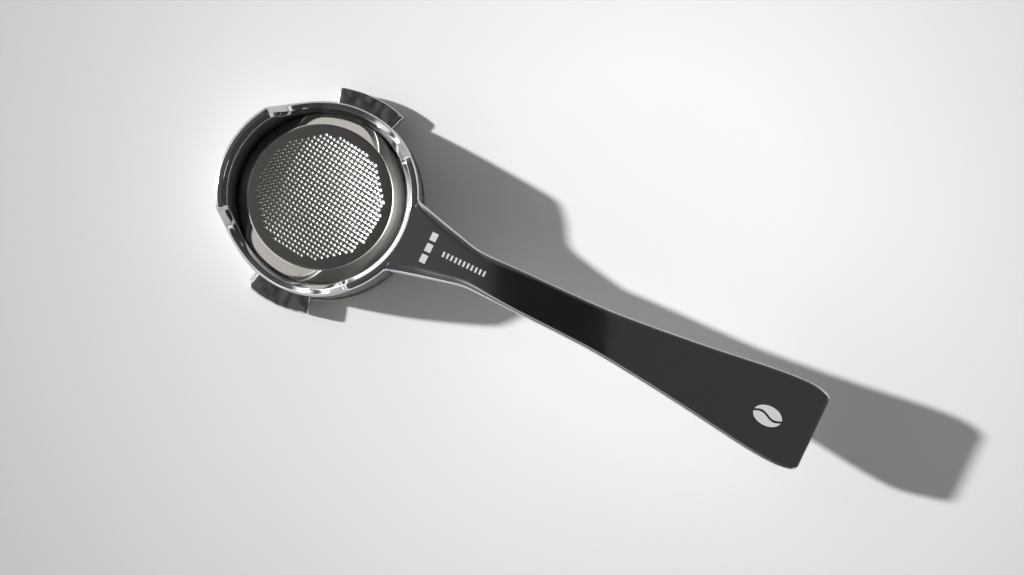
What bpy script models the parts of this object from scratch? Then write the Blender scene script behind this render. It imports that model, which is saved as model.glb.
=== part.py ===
"""A bottomless espresso portafilter, lying upside down on the flange of its basket.

Metres, +Z up. The ring's axis is vertical and the handle runs out along +X, climbing a little towards
its tip. Z = 0 is the face of the basket's flange, and the origin is under the middle of the whole object.
"""

import math

import bmesh
import bpy

MM = 0.001
GAP = 0.3 * MM
CUTTER_REACH = 1.0 * MM
WELD = 0.001 * MM
SMOOTH_BELOW = math.radians(30.0)

# Ring: a turned collar whose rim is milled down on both sides
BORE_R = 30.0 * MM
RING_R = 34.0 * MM
RING_FOOT_R = 34.3 * MM
RING_FOOT_Z = 1.8 * MM
RIM_Z = 27.6 * MM
DIP_Z = 11.6 * MM
RIM_OUTER_CHAMFER = 0.8 * MM
RIM_INNER_CHAMFER = 1.6 * MM
RIM_INNER_CHAMFER_DEPTH = 2.8 * MM
FOOT_CHAMFER = 0.5 * MM
HANDLE_SIDE_EDGE = math.radians(47.0)
DIP_START = math.radians(90.0)
DIP_END = math.radians(115.0)
FRONT_EDGE = math.radians(145.5)
RAMP_POWER = 1.75
RING_STEP = math.radians(5.0)
RAMP_STEP = math.radians(2.5)

# Groove in the bore and the spring that sits in it
GROOVE_R = 31.9 * MM
GROOVE_LOW_Z = 4.9 * MM
GROOVE_HIGH_Z = 7.1 * MM
WIRE_R = 0.7 * MM
SPRING_R = 30.75 * MM
SPRING_WAVE = 0.25 * MM
SPRING_OPENING = math.radians(24.0)
SPRING_POINTS = 61

# Ears that lock into the machine
EAR_R = 40.2 * MM
EAR_ROOT_R = 32.9 * MM
EAR_LOW_Z = 2.3 * MM
EAR_HIGH_Z = 6.8 * MM
EAR_HALF_ANGLE = math.radians(18.2)
EAR_CHAMFER = 0.6 * MM
EAR_LEAD_IN = math.radians(5.0)
EAR_LEAD_IN_DROP = 1.6 * MM
EAR_STEPS = 14

# Basket: a pressed cup with a flange, open side down
FLANGE_R = 35.0 * MM
FLANGE_T = 1.5 * MM
CUP_R = 29.4 * MM
CUP_T = 0.7 * MM
SHOULDER_Z = 12.0 * MM
BASE_R = 24.9 * MM
CUP_H = 18.3 * MM
CORNER_R = 1.0 * MM
CONE_INSET = 1.1 * CUP_T
FLANGE_EDGE = 0.4 * MM
CUP_FOOT = 0.3 * MM
SHOULDER_ROUND = 0.5 * MM
MOUTH_R = 29.9 * MM
MOUTH_ROLL = 0.8 * MM
TURNED_STEPS = 72

# Handle, in its own plane: s runs from the ring to the tip, t across, n up from the face
HANDLE_START_X = 31.9 * MM
FACE_OVER_RIM = 0.15 * MM
HANDLE_START_Z = RIM_Z + FACE_OVER_RIM
HANDLE_TILT = math.radians(2.15)
HANDLE_LENGTH = 151.0 * MM
HANDLE_T = 9.0 * MM
NECK_T = 15.0 * MM
NECK_TAPER_LENGTH = 34.0 * MM
FACE_BEVEL = 0.8 * MM
UNDERSIDE_ROUND = 2.0 * MM
ROUND_MIDDLE = 0.3 * UNDERSIDE_ROUND
TIP_CORNER_R = 1.6 * MM
NECK_WIDTHS = ((0.0, 10.4), (0.7, 12.7), (23.4, 7.1))
GRIP_WIDTHS = ((26.0, 6.78), (30.0, 6.7), (43.0, 6.85), (58.0, 7.05), (73.0, 7.5), (88.0, 8.8),
               (103.0, 10.45), (118.0, 12.35), (128.0, 13.7), (136.0, 14.55), (142.0, 14.87),
               (146.0, 14.67), (148.5, 14.2), (151.5, 13.2))
HANDLE_STEP = 4.0 * MM
END_STEPS = 4

# Hollow back of the handle, its gasket, cover and screws
COVER_START = 39.0 * MM
COVER_END = 147.6 * MM
COVER_T = 1.6 * MM
GASKET_T = 0.6 * MM
SKIN_T = 2.2 * MM
RECESS_INSET = 2.6 * MM
POCKET_INSET = 4.1 * MM
GASKET_W = 1.1 * MM
COVER_END_R = 3.0 * MM
POCKET_END_R = 2.0 * MM
SCREW_PLACES = ((44.5, 0.0), (75.0, 0.0), (106.0, 0.0), (139.5, -7.0), (139.5, 7.0))
SCREW_HEAD_R = 2.7 * MM
SCREW_SHANK_R = 1.25 * MM
SCREW_LENGTH = 5.4 * MM
SCREW_SOCKET_R = 1.15 * MM
SCREW_SOCKET_DEPTH = 1.1 * MM
SCREW_TIP = 0.4 * MM
BOSS_R = 2.5 * MM
BOSS_ROOT = 0.5 * MM
COVER_HOLE_R = SCREW_SHANK_R + 0.27 * MM
SCREW_STEPS = 24

TIP_X = HANDLE_START_X + HANDLE_LENGTH * math.cos(HANDLE_TILT) + HANDLE_T * math.sin(HANDLE_TILT)
AXIS_X = (FLANGE_R - TIP_X) / 2


def clear_scene():
    for obj in list(bpy.data.objects):
        bpy.data.objects.remove(obj, do_unlink=True)


def steel(name, colour, roughness, metallic=1.0):
    material = bpy.data.materials.new(name)
    material.use_nodes = True
    shader = material.node_tree.nodes["Principled BSDF"]
    shader.inputs["Base Color"].default_value = (*colour, 1.0)
    shader.inputs["Metallic"].default_value = metallic
    shader.inputs["Roughness"].default_value = roughness
    return material


def empty(name, location, parent=None, tilt=0.0):
    """A frame that pieces hang from: the ring's axis, or the plane of the handle."""
    frame = bpy.data.objects.new(name, None)
    bpy.context.collection.objects.link(frame)
    frame.parent = parent
    frame.location = location
    frame.rotation_euler = (0.0, -tilt, 0.0)
    return frame


def add_object(name, bm, material, parent, is_cutter=False):
    bmesh.ops.recalc_face_normals(bm, faces=bm.faces)
    mesh = bpy.data.meshes.new(name)
    bm.to_mesh(mesh)
    bm.free()
    mesh.shade_smooth()
    mesh.set_sharp_from_angle(angle=SMOOTH_BELOW)
    if material is not None:
        mesh.materials.append(material)
    obj = bpy.data.objects.new(name, mesh)
    bpy.context.collection.objects.link(obj)
    obj.parent = parent
    if is_cutter:
        obj.hide_render = True
        obj.display_type = "WIRE"
    return obj


def combine(obj, operation, other):
    boolean = obj.modifiers.new(f"{operation.lower()} {other.name}", "BOOLEAN")
    boolean.operation = operation
    boolean.object = other


def lofted(sections, is_loop=False):
    """A skin over closed sections that all have the same number of points, capped unless it is a loop."""
    bm = bmesh.new()
    rings = [[bm.verts.new(point) for point in section] for section in sections]
    pairs = list(zip(rings, rings[1:]))
    if is_loop:
        pairs.append((rings[-1], rings[0]))
    for near, far in pairs:
        for i in range(len(near)):
            j = (i + 1) % len(near)
            bm.faces.new((near[i], near[j], far[j], far[i]))
    if not is_loop:
        bm.faces.new(rings[0])
        bm.faces.new(rings[-1])
    return bm


def turned(profile, steps):
    """A closed (radius, height) profile spun a full turn about Z."""
    bm = bmesh.new()
    verts = [bm.verts.new((radius, 0.0, height)) for radius, height in profile]
    edges = [bm.edges.new(pair) for pair in zip(verts, verts[1:])]
    if profile[0][0] > 0.0:
        edges.append(bm.edges.new((verts[-1], verts[0])))
    bmesh.ops.spin(bm, geom=verts + edges, axis=(0, 0, 1), cent=(0, 0, 0), angle=math.tau, steps=steps)
    bmesh.ops.remove_doubles(bm, verts=bm.verts, dist=WELD)
    return bm


def prism(outline, low, high):
    """A plate of the given (s, t) outline between two heights."""
    return lofted([[(s, t, height) for s, t in outline] for height in (low, high)])


def rim_height(angle):
    """Height of the ring's rim, level at the handle and at the front, milled down between them."""
    side = abs(math.remainder(angle, math.tau))
    if side <= HANDLE_SIDE_EDGE or side >= FRONT_EDGE:
        return RIM_Z
    if side < DIP_START:
        share = ((DIP_START - side) / (DIP_START - HANDLE_SIDE_EDGE)) ** RAMP_POWER
    elif side > DIP_END:
        run = (side - DIP_END) / (FRONT_EDGE - DIP_END)
        share = 1.0 - math.sqrt(1.0 - run * run)
    else:
        share = 0.0
    return DIP_Z + (RIM_Z - DIP_Z) * share


def ring_angles():
    """Where the ring is cut into sections: closer together on the ramps, and on each of their ends."""
    half = [0.0]
    stops = ((HANDLE_SIDE_EDGE, RING_STEP), (DIP_START, RAMP_STEP), (DIP_END, RING_STEP),
             (FRONT_EDGE, RAMP_STEP), (math.pi, RING_STEP))
    for end, step in stops:
        start = half[-1]
        count = math.ceil((end - start) / step - 1e-6)
        half += [start + (end - start) * (i + 1) / count for i in range(count)]
    return half + [-angle for angle in reversed(half[1:-1])]


def ring_section(angle):
    rim = rim_height(angle)
    profile = (
        (BORE_R + FOOT_CHAMFER, RING_FOOT_Z), (RING_FOOT_R - FOOT_CHAMFER, RING_FOOT_Z),
        (RING_FOOT_R, RING_FOOT_Z + FOOT_CHAMFER), (RING_R, rim - RIM_OUTER_CHAMFER),
        (RING_R - RIM_OUTER_CHAMFER, rim), (BORE_R + RIM_INNER_CHAMFER, rim),
        (BORE_R, rim - RIM_INNER_CHAMFER_DEPTH), (BORE_R, GROOVE_HIGH_Z), (GROOVE_R, GROOVE_HIGH_Z),
        (GROOVE_R, GROOVE_LOW_Z), (BORE_R, GROOVE_LOW_Z), (BORE_R, RING_FOOT_Z + FOOT_CHAMFER),
    )
    return [(radius * math.cos(angle), radius * math.sin(angle), z) for radius, z in profile]


def ear(side, parent):
    """One bayonet ear: a slice of a thick flange, thinned where it first enters the machine."""
    sections = []
    for i in range(EAR_STEPS + 1):
        share = i / EAR_STEPS
        turn = (2 * share - 1) * EAR_HALF_ANGLE
        into_ramp = max(0.0, 1.0 - share * 2 * EAR_HALF_ANGLE / EAR_LEAD_IN)
        top = EAR_HIGH_Z - EAR_LEAD_IN_DROP * into_ramp ** 2
        profile = ((EAR_ROOT_R, EAR_LOW_Z), (EAR_R - EAR_CHAMFER, EAR_LOW_Z),
                   (EAR_R, EAR_LOW_Z + EAR_CHAMFER), (EAR_R, top - EAR_CHAMFER),
                   (EAR_R - EAR_CHAMFER, top), (EAR_ROOT_R, top))
        angle = side * math.pi / 2 + turn
        sections.append([(r * math.cos(angle), r * math.sin(angle), z) for r, z in profile])
    name = "left_ear_blank" if side > 0 else "right_ear_blank"
    return add_object(name, lofted(sections), None, parent, is_cutter=True)


def smooth_value(points, at):
    """Cubic through (place, value) pairs, with each slope taken from the neighbours on both sides."""
    last = len(points) - 1
    i = min(max(sum(place <= at for place, _ in points) - 1, 0), last - 1)

    def slope(k):
        before, after = points[max(k - 1, 0)], points[min(k + 1, last)]
        return (after[1] - before[1]) / (after[0] - before[0])

    (x0, y0), (x1, y1) = points[i], points[i + 1]
    run = x1 - x0
    u = (at - x0) / run
    return ((2 * u**3 - 3 * u**2 + 1) * y0 + (u**3 - 2 * u**2 + u) * run * slope(i)
            + (3 * u**2 - 2 * u**3) * y1 + (u**3 - u**2) * run * slope(i + 1))


def half_width(s):
    """Half the width of the handle: straight down the neck, then one long swelling curve."""
    at = s / MM
    for (x0, y0), (x1, y1) in zip(NECK_WIDTHS, NECK_WIDTHS[1:]):
        if at <= x1:
            return MM * (y0 + (y1 - y0) * (at - x0) / (x1 - x0))
    return MM * smooth_value((NECK_WIDTHS[-1],) + GRIP_WIDTHS, at)


def rounded_end(distance, radius):
    """How far an outline pulls in at this distance from a square end with rounded corners."""
    if distance >= radius:
        return 0.0
    return radius - math.sqrt(radius**2 - (radius - distance) ** 2)


def outline(inset, start, end, radius, rounds_start=True):
    """The handle's outline pulled in by a margin, between two places along it, as one closed loop."""
    arc = [radius * (1 - math.cos(math.pi / 2 * i / END_STEPS)) for i in range(END_STEPS)]
    count = math.ceil((end - start - 2 * radius) / HANDLE_STEP)
    middle = [start + radius + (end - start - 2 * radius) * i / count for i in range(count + 1)]
    places = ([start + d for d in arc] if rounds_start else [start]) + middle
    places += [end - d for d in reversed(arc)]
    upper = []
    for s in places:
        pulled = rounded_end(end - s, radius)
        if rounds_start:
            pulled += rounded_end(s - start, radius)
        upper.append((s, half_width(s) - inset - pulled))
    return upper + [(s, -t) for s, t in reversed(upper)]


def underside(s):
    """Thickness of the handle: deep where it meets the ring, then constant."""
    share = max(0.0, 1.0 - s / NECK_TAPER_LENGTH)
    return HANDLE_T + (NECK_T - HANDLE_T) * share**2


def handle_blank(parent):
    """The solid handle: one section across it at each place of its outline."""
    neck = [0.0] + [NECK_WIDTHS[1][0] * MM]
    count = math.ceil((HANDLE_LENGTH - TIP_CORNER_R - neck[-1]) / HANDLE_STEP)
    run = HANDLE_LENGTH - TIP_CORNER_R - neck[-1]
    places = neck + [neck[-1] + run * (i + 1) / count for i in range(count)]
    places += [HANDLE_LENGTH - TIP_CORNER_R * (1 - math.sin(math.pi / 2 * (i + 1) / END_STEPS))
               for i in range(END_STEPS)]
    sections = []
    for s in places:
        w = half_width(s) - rounded_end(HANDLE_LENGTH - s, TIP_CORNER_R)
        deep = underside(s)
        side = ((w - FACE_BEVEL, 0.0), (w, -FACE_BEVEL), (w, UNDERSIDE_ROUND - deep),
                (w - ROUND_MIDDLE, ROUND_MIDDLE - deep), (w - UNDERSIDE_ROUND, -deep))
        sections.append([(s, t, n) for t, n in side] + [(s, -t, n) for t, n in reversed(side)])
    return add_object("handle_blank", lofted(sections), None, parent, is_cutter=True)


def screw_cylinders(name, radius, low, high, parent):
    """One upright cylinder at each screw, all in one mesh."""
    bm = bmesh.new()
    for s, t in SCREW_PLACES:
        made = bmesh.ops.create_cone(bm, cap_ends=True, segments=SCREW_STEPS, radius1=radius,
                                     radius2=radius, depth=high - low)
        bmesh.ops.translate(bm, verts=made["verts"], vec=(s * MM, t * MM, (low + high) / 2))
    return add_object(name, bm, None, parent, is_cutter=True)


def portafilter_body(axis, plane, material):
    """Ring, ears and handle in one casting, cored out from the back of the handle."""
    ring = lofted([ring_section(angle) for angle in ring_angles()], is_loop=True)
    body = add_object("portafilter_body", ring, material, axis)
    for side in (1, -1):
        combine(body, "UNION", ear(side, axis))
    combine(body, "UNION", handle_blank(plane))

    ledge = COVER_T + GASKET_T + 2 * GAP - HANDLE_T
    recess_outline = outline(RECESS_INSET, COVER_START, COVER_END, COVER_END_R)
    recess = prism(recess_outline, -HANDLE_T - 2 * CUTTER_REACH, ledge)
    combine(body, "DIFFERENCE", add_object("cover_recess", recess, None, plane, is_cutter=True))

    margin = POCKET_INSET - RECESS_INSET
    pocket_outline = outline(POCKET_INSET, COVER_START + margin, COVER_END - margin, POCKET_END_R)
    pocket = prism(pocket_outline, ledge - CUTTER_REACH, -SKIN_T)
    combine(body, "DIFFERENCE", add_object("handle_pocket", pocket, None, plane, is_cutter=True))

    boss_top = COVER_T + GAP - HANDLE_T
    bosses = screw_cylinders("screw_bosses", BOSS_R, boss_top, BOSS_ROOT - SKIN_T, plane)
    combine(body, "UNION", bosses)
    hole_end = SCREW_LENGTH + GAP - HANDLE_T
    holes = screw_cylinders("screw_holes", SCREW_SHANK_R + GAP, -HANDLE_T - CUTTER_REACH, hole_end, plane)
    combine(body, "DIFFERENCE", holes)
    return body


def filter_basket(axis, material):
    inner = CUP_R - CUP_T
    floor = CUP_H - CUP_T
    corner = ((-1.0, 0.15), (-0.3, 0.6), (0.1, 1.3))
    profile = [(0.0, CUP_H), (BASE_R - 2 * CORNER_R, CUP_H)]
    profile += [(BASE_R + out * CORNER_R, CUP_H - down * CORNER_R) for out, down in corner]
    profile += [
        (CUP_R - SHOULDER_ROUND / 5, SHOULDER_Z + CUP_FOOT), (CUP_R, SHOULDER_Z - SHOULDER_ROUND),
        (CUP_R, FLANGE_T + CUP_FOOT), (CUP_R + CUP_FOOT, FLANGE_T), (FLANGE_R - FLANGE_EDGE, FLANGE_T),
        (FLANGE_R, FLANGE_T - FLANGE_EDGE), (FLANGE_R, FLANGE_EDGE), (FLANGE_R - FLANGE_EDGE, 0.0),
        (MOUTH_R, 0.0), (inner, MOUTH_ROLL), (inner, SHOULDER_Z - SHOULDER_ROUND),
        (BASE_R - CONE_INSET, CUP_H - 2 * CORNER_R), (BASE_R - 2 * CORNER_R, floor), (0.0, floor),
    ]
    return add_object("filter_basket", turned(profile, TURNED_STEPS), material, axis)


def retaining_spring(axis, material):
    """An open ring of wire with three shallow waves that press on the basket."""
    curve = bpy.data.curves.new("basket_retaining_spring", "CURVE")
    curve.dimensions = "3D"
    curve.bevel_depth = WIRE_R
    curve.bevel_resolution = 2
    curve.use_fill_caps = True
    spline = curve.splines.new("POLY")
    spline.points.add(SPRING_POINTS - 1)
    sweep = math.tau - SPRING_OPENING
    for i, point in enumerate(spline.points):
        angle = math.pi - sweep / 2 + sweep * i / (SPRING_POINTS - 1)
        radius = SPRING_R + SPRING_WAVE * math.cos(3 * angle)
        height = (GROOVE_LOW_Z + GROOVE_HIGH_Z) / 2
        point.co = (radius * math.cos(angle), radius * math.sin(angle), height, 1.0)
    curve.materials.append(material)
    spring = bpy.data.objects.new("basket_retaining_spring", curve)
    bpy.context.collection.objects.link(spring)
    spring.parent = axis
    return spring


def handle_cover(plane, material):
    plate = prism(outline(RECESS_INSET + GAP, COVER_START + GAP, COVER_END - GAP, COVER_END_R - GAP),
                  -HANDLE_T, COVER_T - HANDLE_T)
    cover = add_object("handle_cover", plate, material, plane)
    sinks = bmesh.new()
    rise = SCREW_HEAD_R - SCREW_SHANK_R
    for s, t in SCREW_PLACES:
        # The cone widens past the outer face by the same slope that it has inside the plate.
        over = CUTTER_REACH
        cone = bmesh.ops.create_cone(sinks, cap_ends=True, segments=SCREW_STEPS, depth=rise + over,
                                     radius1=SCREW_HEAD_R + GAP + over, radius2=SCREW_SHANK_R + GAP)
        bmesh.ops.translate(sinks, verts=cone["verts"], vec=(s * MM, t * MM, (rise - over) / 2 - HANDLE_T))
    combine(cover, "DIFFERENCE", add_object("cover_countersinks", sinks, None, plane, is_cutter=True))
    low = -HANDLE_T - CUTTER_REACH
    shanks = screw_cylinders("cover_holes", COVER_HOLE_R, low, COVER_T - HANDLE_T + CUTTER_REACH, plane)
    combine(cover, "DIFFERENCE", shanks)
    return cover


def cover_gasket(plane, material):
    """A thin frame of rubber on the ledge under the cover."""
    inset = RECESS_INSET + GAP
    outer = outline(inset, COVER_START + GAP, COVER_END - GAP, COVER_END_R - GAP)
    inner = outline(inset + GASKET_W, COVER_START + GAP + GASKET_W, COVER_END - GAP - GASKET_W,
                    COVER_END_R - GAP - GASKET_W)
    low = COVER_T + GAP - HANDLE_T
    high = low + GASKET_T
    loops = ((outer, low), (outer, high), (inner, high), (inner, low))
    sections = [[(*loop[i], n) for loop, n in loops] for i in range(len(outer))]
    return add_object("cover_gasket", lofted(sections, is_loop=True), material, plane)


def cover_screw(number, place, plane, material):
    """A countersunk screw with a hexagonal socket, head down."""
    rise = SCREW_HEAD_R - SCREW_SHANK_R
    tip = SCREW_LENGTH
    profile = ((0.0, 0.0), (SCREW_HEAD_R, 0.0), (SCREW_SHANK_R, rise), (SCREW_SHANK_R, tip - SCREW_TIP),
               (SCREW_SHANK_R - SCREW_TIP, tip), (0.0, tip))
    screw = add_object(f"cover_screw_{number}", turned(profile, SCREW_STEPS), material, plane)
    socket = bmesh.new()
    bmesh.ops.create_cone(socket, cap_ends=True, segments=6, radius1=SCREW_SOCKET_R, radius2=SCREW_SOCKET_R,
                          depth=2 * SCREW_SOCKET_DEPTH)
    cutter = add_object(f"screw_socket_{number}", socket, None, screw, is_cutter=True)
    combine(screw, "DIFFERENCE", cutter)
    screw.location = (place[0] * MM, place[1] * MM, -HANDLE_T)
    return screw


def main():
    clear_scene()
    mirror_steel = steel("mirror_polished_stainless", (0.62, 0.62, 0.63), 0.07)
    pressed_steel = steel("pressed_stainless", (0.6, 0.6, 0.61), 0.16)
    spring_steel = steel("spring_wire", (0.5, 0.5, 0.5), 0.28)
    cover_steel = steel("satin_stainless", (0.56, 0.56, 0.57), 0.3)
    screw_steel = steel("screw_stainless", (0.55, 0.55, 0.56), 0.25)
    rubber = steel("silicone_gasket", (0.03, 0.03, 0.03), 0.6, metallic=0.0)

    axis = empty("ring_axis", (AXIS_X, 0.0, 0.0))
    plane = empty("handle_plane", (HANDLE_START_X, 0.0, HANDLE_START_Z), axis, HANDLE_TILT)
    filter_basket(axis, pressed_steel)
    retaining_spring(axis, spring_steel)
    portafilter_body(axis, plane, mirror_steel)
    handle_cover(plane, cover_steel)
    cover_gasket(plane, rubber)
    for number, place in enumerate(SCREW_PLACES, start=1):
        cover_screw(number, place, plane, screw_steel)


main()
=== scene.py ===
"""Looks of a bottomless espresso portafilter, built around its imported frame.

Metres, +Z up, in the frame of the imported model. The ring's axis is vertical, the handle runs out along +X
and climbs a little towards its tip, and Z = 0 is the face of the basket's flange that rests on the table.
"""

import logging
import math
from contextlib import contextmanager
from dataclasses import dataclass, field
from enum import Enum
from typing import Any, Callable, Iterator, Sequence

import bmesh
import bpy
from bpy.types import ID, Material, Node, NodeSocket, NodeTree, Object
from mathutils import Matrix, Vector

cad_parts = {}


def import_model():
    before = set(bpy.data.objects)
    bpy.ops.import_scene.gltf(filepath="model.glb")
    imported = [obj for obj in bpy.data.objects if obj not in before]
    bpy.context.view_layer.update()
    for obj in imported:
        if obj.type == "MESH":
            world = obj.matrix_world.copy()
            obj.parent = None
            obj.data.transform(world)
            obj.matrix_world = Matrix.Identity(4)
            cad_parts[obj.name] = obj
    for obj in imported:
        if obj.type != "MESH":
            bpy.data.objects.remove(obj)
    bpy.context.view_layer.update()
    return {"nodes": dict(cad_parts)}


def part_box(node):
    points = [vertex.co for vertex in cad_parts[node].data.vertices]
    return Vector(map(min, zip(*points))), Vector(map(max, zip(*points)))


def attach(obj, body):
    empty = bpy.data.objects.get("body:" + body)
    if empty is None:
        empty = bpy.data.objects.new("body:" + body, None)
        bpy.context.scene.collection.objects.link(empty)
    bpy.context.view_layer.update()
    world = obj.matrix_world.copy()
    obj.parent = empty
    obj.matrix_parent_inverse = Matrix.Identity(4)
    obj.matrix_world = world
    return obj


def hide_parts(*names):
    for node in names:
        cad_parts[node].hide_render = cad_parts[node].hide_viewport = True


MM = 0.001

Pair = tuple[float, float]
Curve = tuple[Pair, ...]

log = logging.getLogger("portafilter")


# Colour and nodes


def linear(code: str) -> tuple[float, float, float, float]:
    """Turn an sRGB hex colour into linear red, green, blue and alpha.

    Args:
        code: The colour as six hexadecimal digits, such as "C9CACC".

    Returns:
        The linear colour with an alpha of 1.
    """
    channels = [int(code[i:i + 2], 16) / 255 for i in (0, 2, 4)]
    bent = [c / 12.92 if c <= 0.04045 else ((c + 0.055) / 1.055) ** 2.4 for c in channels]
    return (bent[0], bent[1], bent[2], 1.0)


def add(tree: NodeTree, kind: str, inputs: dict[Any, Any] | None = None, **settings: Any) -> Node:
    """Add one node, set it up and link what feeds it.

    Args:
        tree: The node tree to add to.
        kind: The node's type name, without its ShaderNode start.
        inputs: A value or an output socket for each input, by name or number.
        settings: The node's own properties.

    Returns:
        The new node.
    """
    node = tree.nodes.new("ShaderNode" + kind)
    for name, value in settings.items():
        setattr(node, name, value)
    for name, value in (inputs or {}).items():
        if isinstance(value, NodeSocket):
            tree.links.new(value, node.inputs[name])
        else:
            node.inputs[name].default_value = value
    return node


# Modelling


class Operation(Enum):
    """What a solid does to the piece that it is combined with."""

    JOIN = "UNION"
    CUT = "DIFFERENCE"


class Element(Enum):
    """What is selected in edit mode."""

    FACE = "faces"
    EDGE = "edges"


@dataclass(frozen=True)
class Corner:
    """A corner of a flat section, rounded off by an arc.

    Attributes:
        across: Distance from the axis or from the middle line.
        height: Height of the corner.
        rounding: Radius of the arc, or 0 for a sharp corner.
    """

    across: float
    height: float
    rounding: float = 0.0

    @property
    def place(self) -> Vector:
        """The corner as a flat vector."""
        return Vector((self.across, self.height))


def rounded(corners: Sequence[Corner], steps: int = 4) -> list[Vector]:
    """Round the corners of a closed section.

    Args:
        corners: The corners in order.
        steps: How many straight pieces each arc has.

    Returns:
        The points of the rounded section, in the same order.
    """
    points = []
    for i, corner in enumerate(corners):
        here = corner.place
        if not corner.rounding:
            points.append(here)
            continue
        back = (corners[i - 1].place - here).normalized()
        ahead = (corners[(i + 1) % len(corners)].place - here).normalized()
        half = back.angle(ahead) / 2
        middle = (back + ahead).normalized()
        centre = here + middle * corner.rounding / math.sin(half)
        start = here + back * corner.rounding / math.tan(half) - centre
        sweep = (math.pi - 2 * half) * (1 if back.cross(ahead) < 0 else -1)
        for k in range(steps + 1):
            points.append(centre + Matrix.Rotation(sweep * k / steps, 2) @ start)
    return points


def activate(piece: Object) -> None:
    """Deselect everything, then select one piece alone and make it active.

    Args:
        piece: The piece.
    """
    for obj in bpy.context.selected_objects:
        obj.select_set(False)
    piece.select_set(True)
    bpy.context.view_layer.objects.active = piece


@contextmanager
def editing(piece: Object) -> Iterator[None]:
    """Open a piece in edit mode with everything selected, and close it again.

    Args:
        piece: The mesh object to edit.
    """
    activate(piece)
    bpy.ops.object.mode_set(mode="EDIT")
    bpy.ops.mesh.select_all(action="SELECT")
    yield
    bpy.ops.object.mode_set(mode="OBJECT")


def choose(piece: Object, kind: Element, test: Callable[[Any], bool]) -> None:
    """Select only the faces or edges that pass a test, in edit mode.

    Args:
        piece: The piece being edited.
        kind: Whether faces or edges are selected.
        test: Says whether a face or an edge is wanted.
    """
    bpy.ops.mesh.select_mode(type=kind.name)
    bpy.ops.mesh.select_all(action="DESELECT")
    bm = bmesh.from_edit_mesh(piece.data)
    wanted = [part for part in getattr(bm, kind.value) if test(part)]
    for part in wanted:
        part.select_set(True)
    bmesh.update_edit_mesh(piece.data)


def loop_of(name: str, points: Sequence[Vector], filled: bool = False) -> Object:
    """Add a ring of edges, or a face, and lay it along a closed line.

    Args:
        name: The new object's name.
        points: The places of its vertices, in order.
        filled: Whether the ring gets a face.

    Returns:
        The new object.
    """
    fill = "NGON" if filled else "NOTHING"
    bpy.ops.mesh.primitive_circle_add(vertices=len(points), radius=MM, fill_type=fill)
    piece = bpy.context.object
    piece.name = piece.data.name = name
    for vertex, point in zip(piece.data.vertices, points):
        vertex.co = point
    return piece


def close_up(piece: Object) -> None:
    """Weld the seams of a piece and point its faces outwards."""
    with editing(piece):
        bpy.ops.mesh.remove_doubles(threshold=0.001 * MM)
        bpy.ops.mesh.normals_make_consistent(inside=False)


def turned(name: str, section: Sequence[Vector], axis_x: float, steps: int) -> Object:
    """Spin a closed section a full turn about the ring's axis.

    Args:
        name: The new object's name.
        section: Radius and height of each point, in order.
        axis_x: Where the axis stands.
        steps: How many steps the turn has.

    Returns:
        The turned solid.
    """
    piece = loop_of(name, [Vector((axis_x + p.x, 0.0, p.y)) for p in section])
    with editing(piece):
        bpy.ops.mesh.spin(steps=steps, angle=math.tau, center=(axis_x, 0, 0), axis=(0, 0, 1))
    close_up(piece)
    return piece


def drawn_out(name: str, sections: Sequence[Sequence[Vector]]) -> Object:
    """Extrude a face from section to section, as a bar is drawn out station by station.

    Args:
        name: The new object's name.
        sections: The closed sections in order, all with the same number of points.

    Returns:
        The closed solid.
    """
    piece = loop_of(name, sections[0], filled=True)
    with editing(piece):
        for section in sections[1:]:
            bpy.ops.mesh.extrude_region_move()
            bm = bmesh.from_edit_mesh(piece.data)
            cap = next(face for face in bm.faces if face.select)
            for vertex, point in zip(cap.verts, section):
                vertex.co = point
            bmesh.update_edit_mesh(piece.data)
    close_up(piece)
    return piece


def apply_modifier(piece: Object, kind: str, **settings: Any) -> None:
    """Add a modifier, set it up and apply it.

    Args:
        piece: The piece that gets it.
        kind: The modifier's type.
        settings: Its properties.
    """
    modifier = piece.modifiers.new(kind.lower(), kind)
    for name, value in settings.items():
        setattr(modifier, name, value)
    activate(piece)
    bpy.ops.object.modifier_apply(modifier=modifier.name)


def combine(piece: Object, other: Object, operation: Operation) -> None:
    """Join a solid to a piece or cut it out of the piece, and use the solid up."""
    apply_modifier(piece, "BOOLEAN", operation=operation.value, object=other, solver="EXACT")
    bpy.data.objects.remove(other, do_unlink=True)


def polish(piece: Object, sharp_from: float = 28.0) -> None:
    """Shade a piece smooth up to an angle, and keep its flats flat beside narrow bevels.

    Args:
        piece: The finished mesh.
        sharp_from: Angle in degrees from which an edge stays sharp.
    """
    activate(piece)
    bpy.ops.object.shade_smooth_by_angle(angle=math.radians(sharp_from))
    apply_modifier(piece, "WEIGHTED_NORMAL", keep_sharp=True, weight=60)


def dress(piece: Object, material: Material) -> None:
    """Give a piece this material alone."""
    piece.data.materials.clear()
    piece.data.materials.append(material)


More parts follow.
